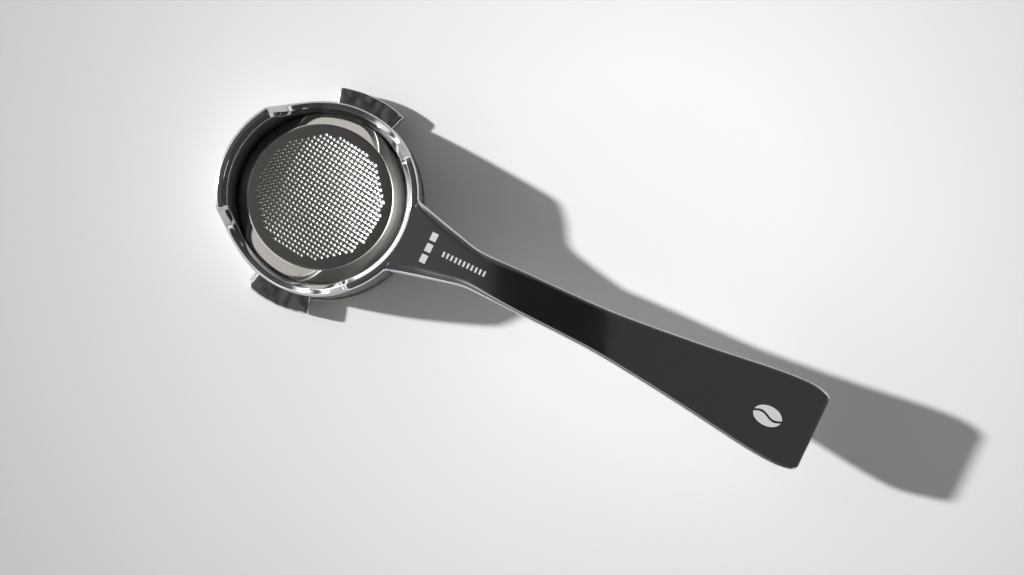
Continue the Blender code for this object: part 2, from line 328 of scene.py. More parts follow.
def smooth_value(points: Sequence[Pair], at: float) -> float:
    """Read a smooth curve through (place, value) points.

    Args:
        points: The points, in order of place.
        at: Where to read it.

    Returns:
        The value of the cubic whose slopes come from the neighbours on both sides.
    """
    last = len(points) - 1
    i = min(max(sum(place <= at for place, _ in points) - 1, 0), last - 1)

    def slope(k: int) -> float:
        """Slope at point k, from the points before and after it."""
        before, after = points[max(k - 1, 0)], points[min(k + 1, last)]
        return (after[1] - before[1]) / (after[0] - before[0])

    (x0, y0), (x1, y1) = points[i], points[i + 1]
    run = x1 - x0
    u = min(max((at - x0) / run, 0.0), 1.0)
    return ((2 * u**3 - 3 * u**2 + 1) * y0 + (u**3 - 2 * u**2 + u) * run * slope(i)
            + (3 * u**2 - 2 * u**3) * y1 + (u**3 - u**2) * run * slope(i + 1))


def rounded_end(distance: float, radius: float) -> float:
    """How far an outline pulls in at this distance from a square end with rounded corners."""
    if distance >= radius:
        return 0.0
    return radius - math.sqrt(max(radius**2 - (radius - distance) ** 2, 0.0))


# Finishes


@dataclass(frozen=True)
class Finish:
    """A metal or rubber finish, as numbers that its material is made from.

    Attributes:
        name: The material's name.
        colour: Its sRGB colour.
        roughness: Its mean roughness.
        metallic: 1 for metal and 0 for rubber.
    """

    name: str
    colour: str
    roughness: float
    metallic: float = 1.0

    def start(self) -> tuple[Material, Node, NodeSocket]:
        """Make the material with its plain values.

        Returns:
            The material, its shader and its object coordinates.
        """
        material = bpy.data.materials.new(self.name)
        material.use_nodes = True
        shader = material.node_tree.nodes["Principled BSDF"]
        shader.inputs["Base Color"].default_value = linear(self.colour)
        shader.inputs["Metallic"].default_value = self.metallic
        shader.inputs["Roughness"].default_value = self.roughness
        return material, shader, add(material.node_tree, "TexCoord").outputs["Object"]

    def uneven(self, tree: NodeTree, pattern: Node, span: Pair, shares: Pair) -> NodeSocket:
        """A roughness that follows a pattern.

        Args:
            tree: The material's node tree.
            pattern: The pattern.
            span: The values of the pattern between which the roughness changes.
            shares: The roughness at both, as shares of the mean.

        Returns:
            The roughness.
        """
        low, high = (share * self.roughness for share in shares)
        return add(tree, "MapRange", {"Value": pattern.outputs[0], "From Min": span[0],
                                      "From Max": span[1], "To Min": low, "To Max": high}).outputs[0]


Step = Callable[..., NodeSocket]


@dataclass(frozen=True)
class Mark:
    """A plain bar etched into the handle's face, or a row of them.

    Attributes:
        centre: Its middle in the row frame, in metres.
        size: Its length along X and width along Y.
        count: How many bars stand in its row along X, an odd number.
        pitch: Their distance from middle to middle.
    """

    centre: Pair
    size: Pair
    count: int = 1
    pitch: float = 0.0

    def area(self, step: Step, x: NodeSocket, y: NodeSocket) -> NodeSocket:
        """Where the mark is.

        Args:
            step: Adds one step of arithmetic.
            x: The distance from its middle along X.
            y: The distance from its middle along Y.

        Returns:
            A value of 1 on the mark and 0 elsewhere.
        """
        length, width = self.size
        row = step("ABSOLUTE", x)
        if self.count > 1:
            x = step("WRAP", x, self.pitch / 2, -self.pitch / 2)
        near = step("LESS_THAN", row, max(self.count * self.pitch, length) / 2)
        along = step("LESS_THAN", step("ABSOLUTE", x), length / 2)
        across = step("LESS_THAN", step("ABSOLUTE", y), width / 2)
        return step("MULTIPLY", near, step("MULTIPLY", along, across))


@dataclass(frozen=True)
class Bean(Mark):
    """A coffee bean etched into the handle's face: an oval with a wavy groove left along it."""

    groove: float = 0.4 * MM
    wave: float = 0.12

    def area(self, step: Step, x: NodeSocket, y: NodeSocket) -> NodeSocket:
        """Where the bean is.

        Args:
            step: Adds one step of arithmetic.
            x: The distance from its middle along X.
            y: The distance from its middle along Y.

        Returns:
            A value of 1 on the bean and 0 elsewhere.
        """
        length, width = self.size
        wide = step("POWER", step("MULTIPLY", x, 2 / length), 2.0)
        high = step("POWER", step("MULTIPLY", y, 2 / width), 2.0)
        oval = step("LESS_THAN", step("ADD", wide, high), 1.0)
        bend = step("SINE", step("MULTIPLY", x, math.tau / length))
        off = step("ABSOLUTE", step("MULTIPLY_ADD", bend, self.wave * width, y))
        return step("MULTIPLY", oval, step("GREATER_THAN", off, self.groove))


@dataclass(frozen=True)
class BuffedSteel(Finish):
    """Cast stainless steel buffed to a mirror: the eye reads it from what it reflects, slightly wavy.

    Attributes:
        axis_x: Where the ring's axis stands.
        waves: Size and height of the waviness that buffing leaves all over.
        ring_waves: The same for the rounder surfaces of the ring.
        ring_reach: Distances from the axis between which the ring's waviness fades out.
        hairs: Width and height of the hairlines along the handle.
        hair_stretch: A hairline's width as a share of its length.
        smears: Size of the faint smears in the gloss.
        smear_gloss: The roughness between smears and on them, as shares of the mean.
        pits: Size and height of the casting's own skin, left unbuffed low down.
        as_cast_z: The height up to which it is left.
        bore_r: Radius of the bore.
        bored: Roughness of the satin wall that the boring tool left.
        etched: Roughness and metallic value of the etched marks.
        face_z: Height above which a mark can lie.
        marks: The etched marks.
    """

    axis_x: float = 0.0
    waves: Pair = (9.0 * MM, 0.006 * MM)
    ring_waves: Pair = (3.2 * MM, 0.02 * MM)
    ring_reach: Pair = (34.0 * MM, 37.0 * MM)
    hairs: Pair = (0.22 * MM, 0.0002 * MM)
    hair_stretch: float = 0.06
    smears: float = 14.3 * MM
    smear_gloss: Pair = (0.8, 1.7)
    pits: Pair = (5.5 * MM, 0.9 * MM)
    as_cast_z: float = 8.0 * MM
    bore_r: float = 30.0 * MM
    bored: float = 0.37
    etched: Pair = (0.6, 0.3)
    face_z: float = 25.5 * MM
    marks: tuple[Mark, ...] = ()

    def material(self) -> Material:
        """Build the mirror with its waviness, hairlines, smears and etched marks.

        Returns:
            The material.
        """
        material, shader, place = self.start()
        tree = material.node_tree
        flat = add(tree, "VectorMath", {0: place, 1: (1.0, 1.0, 0.0)}, operation="MULTIPLY")
        axis = (self.axis_x, 0.0, 0.0)
        away = add(tree, "VectorMath", {0: flat.outputs[0], 1: axis}, operation="DISTANCE")
        height = add(tree, "SeparateXYZ", {0: place})
        along = add(tree, "Mapping", {"Vector": place, "Scale": (self.hair_stretch, 1.0, 1.0)})
        bore_end = (self.bore_r + 0.1 * MM, self.bore_r + 0.3 * MM)
        ring, inside, low = (
            add(tree, "MapRange", {"Value": value, "From Min": start, "From Max": end, "To Min": 1.0,
                                   "To Max": 0.0}).outputs[0]
            for value, (start, end) in ((away.outputs["Value"], self.ring_reach),
                                        (away.outputs["Value"], bore_end),
                                        (height.outputs[2], (self.as_cast_z, self.as_cast_z + MM))))

        normal = None
        for (size, depth), coordinates, detail, strength in (
                (self.waves, place, 1.0, 1.0), (self.ring_waves, place, 2.0, ring),
                (self.hairs, along.outputs[0], 2.0, 1.0), (self.pits, place, 1.0, low)):
            grain = add(tree, "TexNoise", {"Vector": coordinates, "Scale": 1 / size, "Detail": detail})
            relief = add(tree, "Bump", {"Height": grain.outputs[0], "Distance": depth,
                                        "Strength": strength})
            if normal is not None:
                tree.links.new(normal, relief.inputs["Normal"])
            normal = relief.outputs[0]
        tree.links.new(normal, shader.inputs["Normal"])

        smears = add(tree, "TexNoise", {"Vector": place, "Scale": 1 / self.smears, "Detail": 4.0,
                                        "Distortion": 0.6})
        rough = self.uneven(tree, smears, (0.35, 0.75), self.smear_gloss)
        dull, metallic = self.etched
        marked = self.marked(tree, place)
        for where, roughness in ((inside, self.bored), (marked, dull)):
            mix = add(tree, "Mix", {"Factor": where, "A": rough, "B": roughness}, data_type="FLOAT")
            rough = mix.outputs[0]
        tree.links.new(rough, shader.inputs["Roughness"])
        frosted = add(tree, "MapRange", {"Value": marked, "To Min": self.metallic, "To Max": metallic})
        tree.links.new(frosted.outputs[0], shader.inputs["Metallic"])
        return material

    def marked(self, tree: NodeTree, place: NodeSocket) -> NodeSocket:
        """Where the face is etched dull.

        Args:
            tree: The material's node tree.
            place: The object coordinates.

        Returns:
            A value of 1 on the marks and 0 elsewhere.
        """
        def step(kind: str, *values: Any) -> NodeSocket:
            """Add one step of arithmetic.

            Args:
                kind: The operation.
                values: What it works on, as numbers or sockets.

            Returns:
                Its result.
            """
            return add(tree, "Math", dict(enumerate(values)), operation=kind).outputs[0]

        x, y, z = add(tree, "SeparateXYZ", {0: place}).outputs
        total = 0.0
        for mark in self.marks:
            off = [step("SUBTRACT", axis, middle) for axis, middle in zip((x, y), mark.centre)]
            total = step("MAXIMUM", total, mark.area(step, *off))
        return step("MULTIPLY", total, step("GREATER_THAN", z, self.face_z))


@dataclass(frozen=True)
class SheetSteel(Finish):
    """Sheet or bar with one fine pattern of lines in it, and an uneven gloss.

    Attributes:
        line: Width of the finest lines.
        depth: Their depth.
        detail: How many finer layers the pattern has.
        gloss: The roughness at both ends of the pattern, as shares of the mean.
    """

    line: float = 0.16 * MM
    depth: float = 0.006 * MM
    detail: float = 3.0
    gloss: Pair = (0.75, 1.4)

    def material(self) -> Material:
        """Build the sheet with its lines.

        Returns:
            The material.
        """
        material, shader, place = self.start()
        tree = material.node_tree
        lines = add(tree, "TexNoise", {"Vector": self.coordinates(tree, place), "Scale": 1 / self.line,
                                       "Detail": self.detail})
        relief = add(tree, "Bump", {"Height": lines.outputs[0], "Distance": self.depth, "Strength": 1.0})
        tree.links.new(relief.outputs[0], shader.inputs["Normal"])
        gloss = self.uneven(tree, self.mottle(tree, place) or lines, (0.3, 0.7), self.gloss)
        tree.links.new(gloss, shader.inputs["Roughness"])
        return material

    def coordinates(self, tree: NodeTree, place: NodeSocket) -> NodeSocket:
        """The coordinates that the lines follow."""
        return place

    def mottle(self, tree: NodeTree, place: NodeSocket) -> Node | None:
        """The pattern that the gloss follows, or None for the lines themselves."""
        return None


@dataclass(frozen=True)
class TurnedSteel(SheetSteel):
    """Pressed, spun or turned steel: fine rings about the axis spread each reflection around it."""

    axis_x: float = 0.0
    line: float = 0.3 * MM
    depth: float = 0.0004 * MM
    detail: float = 2.0
    gloss: Pair = (0.8, 1.3)
    mottle_size: float = 6.25 * MM

    def coordinates(self, tree: NodeTree, place: NodeSocket) -> NodeSocket:
        """The coordinates of rings: the distance from the axis, and the height.

        Args:
            tree: The material's node tree.
            place: The object coordinates.

        Returns:
            The coordinates.
        """
        off = add(tree, "VectorMath", {0: place, 1: (self.axis_x, 0.0, 0.0)}, operation="SUBTRACT")
        axes = add(tree, "SeparateXYZ", {0: off.outputs[0]})
        flat = add(tree, "CombineXYZ", {0: axes.outputs[0], 1: axes.outputs[1]})
        radius = add(tree, "VectorMath", {0: flat.outputs[0]}, operation="LENGTH")
        return add(tree, "CombineXYZ", {0: radius.outputs["Value"], 1: axes.outputs[2]}).outputs[0]

    def mottle(self, tree: NodeTree, place: NodeSocket) -> Node | None:
        """Faint clouds."""
        return add(tree, "TexNoise", {"Vector": place, "Scale": 1 / self.mottle_size, "Detail": 3.0})


@dataclass(frozen=True)
class BrushedSteel(SheetSteel):
    """Steel brushed or drawn along the handle: long hairlines smear a reflection across them."""

    stretch: float = 0.015

    def coordinates(self, tree: NodeTree, place: NodeSocket) -> NodeSocket:
        """The object coordinates, drawn out along X."""
        return add(tree, "Mapping", {"Vector": place, "Scale": (self.stretch, 1.0, 1.0)}).outputs[0]


@dataclass(frozen=True)
class Silicone(Finish):
    """Moulded silicone rubber: dull, with a fine matt grain."""

    grain: float = 0.25 * MM
    depth: float = 0.01 * MM
    strength: float = 0.6

    def material(self) -> Material:
        """Build the rubber with its grain.

        Returns:
            The material.
        """
        material, shader, place = self.start()
        tree = material.node_tree
        grain = add(tree, "TexNoise", {"Vector": place, "Scale": 1 / self.grain, "Detail": 2.0})
        relief = add(tree, "Bump", {"Height": grain.outputs[0], "Distance": self.depth,
                                    "Strength": self.strength})
        tree.links.new(relief.outputs[0], shader.inputs["Normal"])
        return material


# The handle's own frame


@dataclass(frozen=True)
class HandlePlane:
    """Where the handle lies: s runs from the ring to the tip, t across, n up from the face.

    Attributes:
        axis_x: Where the ring's axis stands.
        start_x: Where s is 0, from the ring's axis.
        start_z: Height of the face there.
        tilt: How steeply the handle climbs.
    """

    axis_x: float
    start_x: float = 31.9 * MM
    start_z: float = 27.75 * MM
    tilt: float = math.radians(2.15)

    @property
    def matrix(self) -> Matrix:
        """From (s, t, n) to the row frame."""
        place = Matrix.Translation((self.axis_x + self.start_x, 0.0, self.start_z))
        return place @ Matrix.Rotation(-self.tilt, 4, "Y")

    def point(self, s: float, t: float, n: float) -> Vector:
        """One point in the row frame."""
        return self.matrix @ Vector((s, t, n))

    def face_height(self, x: float) -> float:
        """Height of the plane of the handle's face at this distance from the ring's axis."""
        return self.start_z + (x - self.start_x) * math.tan(self.tilt)


@dataclass
class HandleShape:
    """Outline and section of the handle.

    Attributes:
        neck: Half-widths in mm of the straight neck, by place in mm.
        grip: Half-widths in mm of the swelling grip, by place in mm.
        bevels: Width in mm of the bevel round the face, by place in mm.
        bevel_slope: How far the bevel drops for its width.
        edge_rounds: Radii at its outer and inner edge, as shares of its width.
    """

    length: float = 151.0 * MM
    thickness: float = 9.0 * MM
    neck_thickness: float = 15.0 * MM
    neck_taper: float = 34.0 * MM
    tip_corner: float = 1.6 * MM
    bevel_slope: float = 0.8
    edge_rounds: Pair = (0.8, 0.7)
    underside_round: float = 2.0 * MM
    neck: Curve = ((-1.4, 13.2), (23.4, 7.1))
    grip: Curve = (
        (23.4, 7.1), (26.0, 6.78), (30.0, 6.7), (43.0, 6.85), (58.0, 7.05), (73.0, 7.5), (88.0, 8.8),
        (103.0, 10.45), (118.0, 12.35), (128.0, 13.7), (136.0, 14.55), (142.0, 14.87), (146.0, 14.67),
        (148.5, 14.2), (151.5, 13.2))
    bevels: Curve = (
        (-1.0, 0.8), (1.5, 1.8), (5.0, 2.5), (10.0, 2.8), (18.5, 2.5), (26.5, 2.1), (38.0, 1.3),
        (50.0, 1.0), (151.0, 0.9))

    def half_width(self, s: float) -> float:
        """Half the width of the handle.

        Args:
            s: The place along the handle.

        Returns:
            The distance from its middle line to its wall.
        """
        at = s / MM
        (x0, y0), (x1, y1) = self.neck
        if at <= x1:
            return MM * (y0 + (y1 - y0) * (at - x0) / (x1 - x0))
        return MM * smooth_value(self.grip, at)

    def depth(self, s: float) -> float:
        """Thickness of the handle: deep where it meets the ring, then constant."""
        share = max(0.0, 1.0 - s / self.neck_taper)
        return self.thickness + (self.neck_thickness - self.thickness) * min(share, 1.0) ** 2

    def edge(self, s: float) -> list[Pair]:
        """Section of the bevel round the face.

        Args:
            s: The place along the handle.

        Returns:
            Points from the flat to the wall, as the distance in from the wall and down from the face.
        """
        width = MM * smooth_value(self.bevels, s / MM)
        drop = width * self.bevel_slope
        outer, inner = (width * share for share in self.edge_rounds)
        corners = [Corner(0.0, drop + 3 * MM), Corner(0.0, drop, outer),
                   Corner(width, 0.0, inner), Corner(width + 3 * MM, 0.0)]
        points = rounded(corners, 6)[1:-1]
        return [(p.x, p.y) for p in reversed(points)]

    def section(self, s: float) -> list[Pair]:
        """One section across the handle.

        Args:
            s: The place along the handle.

        Returns:
            The points (t, n) round the section, from the middle of the face to the +t side and back.
        """
        to_tip = self.length - s
        width = self.half_width(s) - rounded_end(to_tip, self.tip_corner)
        edge = self.edge(s)
        near_tip = min(1.0, to_tip / edge[0][0])
        sunk = [drop for inset, drop in edge if inset >= to_tip] if near_tip < 1.0 else []
        level = max(sunk, default=0.0)
        side = [(width - inset, -max(drop, level)) for inset, drop in edge]
        base = -self.depth(s) + rounded_end(to_tip, self.underside_round)
        radius = self.underside_round
        arc = [math.pi / 2 * i / 5 for i in range(6)]
        side += [(width - radius + radius * math.cos(a), base + radius - radius * math.sin(a))
                 for a in arc]
        return side + [(-t, n) for t, n in reversed(side)]

    def stations(self) -> list[float]:
        """Places along the handle where a section is taken, closer together at the tip.

        Returns:
            The places, in order.
        """
        start = -0.2 * MM
        end = self.length - self.underside_round
        count = 90
        places = [start + (end - start) * i / count for i in range(count + 1)]
        steps = 12
        return places + [self.length - self.underside_round * (1 - i / steps) ** 2
                         for i in range(1, steps + 1)]

    def outline(self, inset: float, start: float, end: float, radius: float) -> list[Pair]:
        """The handle's outline pulled in by a margin, between two places along it.

        Args:
            inset: How far it is pulled in from the walls.
            start: Where it begins.
            end: Where it ends.
            radius: Radius of its four corners.

        Returns:
            The points (s, t) of the closed outline.
        """
        bends = 8
        arc = [radius * (1 - math.cos(math.pi / 2 * i / bends)) for i in range(bends)]
        count = 56
        run = end - start - 2 * radius
        places = [start + d for d in arc] + [start + radius + run * i / count for i in range(count + 1)]
        places += [end - d for d in reversed(arc)]
        upper = []
        for s in places:
            pulled = rounded_end(end - s, radius) + rounded_end(s - start, radius)
            upper.append((s, self.half_width(s) - inset - pulled))
        return upper + [(s, -t) for s, t in reversed(upper)]


# Sub-assemblies


@dataclass
class Ear:
    """One of the two bayonet ears.

    Attributes:
        side: +1 for the ear at +Y and -1 for the one at -Y.
        front_corner: Radius in plan of the corner nearest to the front of the ring.
    """

    side: int
    front_corner: float
    outer_r: float = 40.2 * MM
    root_r: float = 32.6 * MM
    low_z: float = 2.3 * MM
    high_z: float = 6.8 * MM
    half_angle: float = math.radians(18.2)
    edge_round: float = 0.9 * MM
    lead_in: float = math.radians(5.0)
    lead_in_drop: float = 1.6 * MM
    back_corner: float = 0.7 * MM
    steps: int = 40

    def build(self, axis_x: float) -> Object:
        """Draw the ear out round the ring.

        Args:
            axis_x: Where the ring's axis stands.

        Returns:
            The ear as a closed solid that reaches into the ring's wall.
        """
        sections = []
        for i in range(self.steps + 1):
            # Sections crowd towards both ends, where the corners are round.
            share = (1 - math.cos(math.pi * i / self.steps)) / 2
            angle = self.side * math.pi / 2 + (2 * share - 1) * self.half_angle
            start = share * 2 * self.half_angle * self.outer_r
            end = (1 - share) * 2 * self.half_angle * self.outer_r
            front, back = (end, start) if self.side > 0 else (start, end)
            pulled = rounded_end(front, self.front_corner) + rounded_end(back, self.back_corner)
            rolled = rounded_end(min(start, end), self.edge_round)
            ramp = max(0.0, 1.0 - share * 2 * self.half_angle / self.lead_in)
            top = self.high_z - self.lead_in_drop * ramp**2 - rolled
            low = self.low_z + rolled
            r = self.outer_r - pulled
            corners = [Corner(self.root_r, low), Corner(r, low, self.edge_round),
                       Corner(r, top, self.edge_round), Corner(self.root_r, top)]
            sections.append([Vector((axis_x + p.x * math.cos(angle), p.x * math.sin(angle), p.y))
                             for p in rounded(corners)])
        return drawn_out("ear", sections)


@dataclass
class PortafilterBody:
    """Ring, ears and handle, cast in one and cored from the back of the handle.

    Attributes:
        handle_edge: Degrees from the handle at which the rim starts to fall into the cut-out.
        dip: Degrees between which the cut-out is at its lowest.
        front_edge: Degrees at which the rim is back at its full height.
        ramp_power: How the rim falls on the handle's side.
        steepest: How far round a circle the rim rises at the front, 1 being upright.
        softening: Degrees to either side over which the rim's corners are rounded off.
        fillet_angle: Degrees at which the fillet into the neck ends.
        fillet_reach: Degrees over which it swells.
    """

    plane: HandlePlane
    shape: HandleShape
    bore_r: float = 30.0 * MM
    ring_r: float = 34.0 * MM
    foot_r: float = 34.3 * MM
    foot_z: float = 1.8 * MM
    rim_z: float = 27.6 * MM
    dip_z: float = 11.6 * MM
    outer_chamfer: float = 0.8 * MM
    inner_chamfer: float = 1.6 * MM
    inner_chamfer_depth: float = 1.3 * MM
    edge_round: float = 0.25 * MM
    rim_round: float = 0.75 * MM
    foot_bevel: float = 0.5 * MM
    waist_r: float = 34.2 * MM
    groove_r: float = 31.9 * MM
    groove_round: float = 0.15 * MM
    groove_z: Pair = (4.9 * MM, 7.1 * MM)
    waist_z: float = 10.0 * MM
    handle_edge: float = 47.0
    dip: Pair = (90.0, 115.0)
    front_edge: float = 145.5
    ramp_power: float = 1.75
    steepest: float = 0.95
    softening: float = 2.2
    fillet_r: float = 2.0 * MM
    fillet_angle: float = 24.1
    fillet_reach: float = 2.7
    steps: int = 360
    sharp_from: float = 50.0
    ears: tuple[Ear, Ear] = (Ear(1, 1.2 * MM), Ear(-1, 4.5 * MM))

    def rim_share(self, side: float) -> float:
        """How high the rim is between the bottom of a cut-out (0) and its full height (1).

        Args:
            side: Degrees round the ring from the handle, on either side.

        Returns:
            The share of the full height.
        """
        if side <= self.handle_edge or side >= self.front_edge:
            return 1.0
        if side < self.dip[0]:
            return ((self.dip[0] - side) / (self.dip[0] - self.handle_edge)) ** self.ramp_power
        if side > self.dip[1]:
            run = self.steepest * (side - self.dip[1]) / (self.front_edge - self.dip[1])
            return (1.0 - math.sqrt(1.0 - run**2)) / (1.0 - math.sqrt(1.0 - self.steepest**2))
        return 0.0

    def soft_share(self, side: float) -> float:
        """The rim's share with the corners of the cut-outs rounded off, as buffing leaves them."""
        near = [self.rim_share(side + self.softening * k / 4) for k in range(-4, 5)]
        return sum(near) / len(near)

    def full_height(self, side: float, x: float) -> float:
        """Height of the uncut rim: in the plane of the handle's face beside it, level at the front.

        Args:
            side: Degrees round the ring from the handle, on either side.
            x: Distance from the ring's axis along the handle.

        Returns:
            The height.
        """
        if side >= self.dip[0]:
            return self.rim_z
        edge_x = self.ring_r * math.cos(math.radians(self.handle_edge))
        sunk = 0.01 * MM
        return self.plane.face_height(max(x, edge_x)) - sunk

    def section(self) -> list[Vector]:
        """The ring's section, from the foot outside to the rim and down the bore.

        Returns:
            Radius and height of each point, in order.
        """
        rim, bore = self.rim_z, self.bore_r
        low, high = self.groove_z
        small, soft, foot = self.edge_round, self.rim_round, self.foot_bevel
        corners = [
            Corner(bore + foot, self.foot_z, small), Corner(self.foot_r - foot, self.foot_z, small),
            Corner(self.foot_r, self.foot_z + foot, small), Corner(self.waist_r, self.waist_z),
            Corner(self.ring_r, rim - self.outer_chamfer, soft),
            Corner(self.ring_r - self.outer_chamfer, rim, soft),
            Corner(bore + self.inner_chamfer, rim, soft),
            Corner(bore, rim - self.inner_chamfer_depth, soft),
            Corner(bore, high, self.groove_round), Corner(self.groove_r, high),
            Corner(self.groove_r, low), Corner(bore, low, self.groove_round),
            Corner(bore, self.foot_z + foot, small)]
        return rounded(corners, 5)

    def fillet(self, side: float) -> float:
        """How far the ring's wall swells to meet the neck in a round corner.

        Args:
            side: Degrees round the ring from the handle, on either side.

        Returns:
            The swelling.
        """
        off = math.radians(self.fillet_angle - side)
        reach = math.radians(self.fillet_reach)
        if off <= 0.0 or off > 2 * reach:
            return 0.0
        far = self.ring_r + self.fillet_r
        seen = min(off, 2 * reach - off)
        hollow = math.sqrt(self.fillet_r**2 - (far * math.sin(seen)) ** 2)
        return far * math.cos(seen) - hollow - self.ring_r

    def ring(self) -> Object:
        """Turn the ring, mill its rim down on both sides and swell it into the neck.

        Returns:
            The ring as a closed solid.
        """
        piece = turned("portafilter_ring", self.section(), self.plane.axis_x, self.steps)
        rim_from = self.rim_z - self.inner_chamfer_depth - self.rim_round
        for vertex in piece.data.vertices:
            x, y = vertex.co.x - self.plane.axis_x, vertex.co.y
            angle, radius = math.degrees(math.atan2(y, x)), math.hypot(x, y)
            side = abs(angle)
            if vertex.co.z > rim_from:
                full = self.full_height(side, radius * math.cos(math.radians(side)))
                height = self.dip_z + (full - self.dip_z) * self.soft_share(side)
                vertex.co.z += height - self.rim_z
                if radius > self.ring_r - 1.5 * self.outer_chamfer:
                    radius += self.fillet(side)
            vertex.co.x = self.plane.axis_x + radius * math.cos(math.radians(angle))
            vertex.co.y = radius * math.sin(math.radians(angle))
        return piece

    def handle(self) -> Object:
        """Draw the handle out from the ring's wall to its tip."""
        sections = [[self.plane.point(s, t, n) for t, n in self.shape.section(s)]
                    for s in self.shape.stations()]
        return drawn_out("handle", sections)

    def build(self, back: "HandleBack", material: Material) -> Object:
        """Join ring, ears and handle, and core the back.

        Args:
            back: The sizes of the cover and of what lies under it.
            material: The finish of the casting.

        Returns:
            The finished casting.
        """
        piece = self.ring()
        piece.name = piece.data.name = "body_casting"
        for ear in self.ears:
            combine(piece, ear.build(self.plane.axis_x), Operation.JOIN)
        combine(piece, self.handle(), Operation.JOIN)
        for cutter in back.cutters():
            combine(piece, cutter, Operation.CUT)
        polish(piece, sharp_from=self.sharp_from)
        dress(piece, material)
        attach(piece, "holder")
        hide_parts("portafilter_body")
        log.info("body_casting: %d faces", len(piece.data.polygons))
        return piece


@dataclass
class HandleBack:
    """Cover, gasket and screws on the back of the handle."""

    plane: HandlePlane
    shape: HandleShape
    start: float = 39.0 * MM
    end: float = 147.6 * MM
    cover_t: float = 1.6 * MM
    gasket_t: float = 0.6 * MM
    skin_t: float = 2.2 * MM
    recess_inset: float = 2.6 * MM
    pocket_inset: float = 4.1 * MM
    gap: float = 0.3 * MM
    corner_r: float = 3.0 * MM
    head_r: float = 2.7 * MM
    shank_r: float = 1.25 * MM
    screw_length: float = 5.4 * MM
    socket_r: float = 1.15 * MM
    socket_depth: float = 1.1 * MM
    tip_bevel: float = 0.4 * MM
    facets: int = 48
    places: Curve = (
        (44.5, 0.0), (75.0, 0.0), (106.0, 0.0), (139.5, -7.0), (139.5, 7.0))

    def prism(self, name: str, outline: Sequence[Pair], low: float,
              high: float) -> Object:
        """Extrude an outline in the handle's plane between two heights."""
        sections = [[self.plane.point(s, t, n) for s, t in outline] for n in (low, high)]
        return drawn_out(name, sections)

    def cutters(self) -> list[Object]:
        """The recess for the cover and the pocket behind it.

        Returns:
            The two solids to cut out.
        """
        thick = self.shape.thickness
        ledge = self.cover_t + self.gasket_t + 2 * self.gap - thick
        outer = self.shape.outline(self.recess_inset, self.start, self.end, self.corner_r)
        margin = self.pocket_inset - self.recess_inset
        inner = self.shape.outline(self.pocket_inset, self.start + margin, self.end - margin,
                                   self.corner_r - MM)
        return [self.prism("recess", outer, -thick - 2 * MM, ledge),
                self.prism("pocket", inner, ledge - 0.5 * MM, -self.skin_t)]

    def cover(self, material: Material) -> Object:
        """The flat cover, with softened edges and a countersink for each screw.

        Args:
            material: The finish of the cover.

        Returns:
            The finished cover.
        """
        thick = self.shape.thickness
        outline = self.shape.outline(self.recess_inset + self.gap, self.start + self.gap,
                                     self.end - self.gap, self.corner_r - self.gap)
        piece = self.prism("cover_plate", outline, -thick, self.cover_t - thick)
        sides = math.radians(60)
        wide, hole = self.head_r + self.gap, self.shank_r + self.gap
        over, through = 2 * MM, self.cover_t + MM
        section = [Vector(point) for point in (
            (0.0, -over), (wide + over, -over), (wide, 0.0), (hole, wide - hole), (hole, through),
            (0.0, through))]
        with editing(piece):
            choose(piece, Element.EDGE, lambda edge: edge.calc_face_angle(0.0) > sides)
            bpy.ops.mesh.bevel(offset=0.25 * MM, segments=3)
        for s, t in self.places:
            sink = turned("countersink", section, 0.0, self.facets)
            self.seat(sink, s * MM, t * MM)
            combine(piece, sink, Operation.CUT)
        polish(piece)
        dress(piece, material)
        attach(piece, "holder")
        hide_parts("handle_cover")
        log.info("cover_plate: %d faces", len(piece.data.polygons))
        return piece

    def seat(self, piece: Object, s: float, t: float) -> None:
        """Move a piece modelled about the origin onto the back of the handle."""
        piece.data.transform(self.plane.matrix @ Matrix.Translation((s, t, -self.shape.thickness)))

    def screw(self) -> Object:
        """A countersunk screw with a hexagonal socket, head down, about the origin.

        Returns:
            The screw.
        """
        rise = self.head_r - self.shank_r
        tip = self.screw_length
        corners = [Corner(0.0, 0.0), Corner(self.head_r, 0.0, 0.12 * MM),
                   Corner(self.head_r - 0.1 * MM, 0.3 * MM), Corner(self.shank_r, rise, 0.3 * MM),
                   Corner(self.shank_r, tip - self.tip_bevel),
                   Corner(self.shank_r - self.tip_bevel, tip), Corner(0.0, tip)]
        piece = turned("screw", rounded(corners), 0.0, self.facets)
        bpy.ops.mesh.primitive_cylinder_add(vertices=6, radius=self.socket_r, depth=2 * self.socket_depth)
        combine(piece, bpy.context.object, Operation.CUT)
        return piece

    def screws(self, material: Material) -> None:
        """Copy the screw to each of its places.

        Args:
            material: The finish of the screws.
        """
        model = self.screw()
        for number, (s, t) in enumerate(self.places, start=1):
            piece = bpy.data.objects.new(f"countersunk_screw_{number}", model.data.copy())
            bpy.context.scene.collection.objects.link(piece)
            self.seat(piece, s * MM, t * MM)
            polish(piece)
            dress(piece, material)
            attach(piece, "holder")
            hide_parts(f"cover_screw_{number}")
        bpy.data.objects.remove(model, do_unlink=True)
        log.info("%d screws", len(self.places))


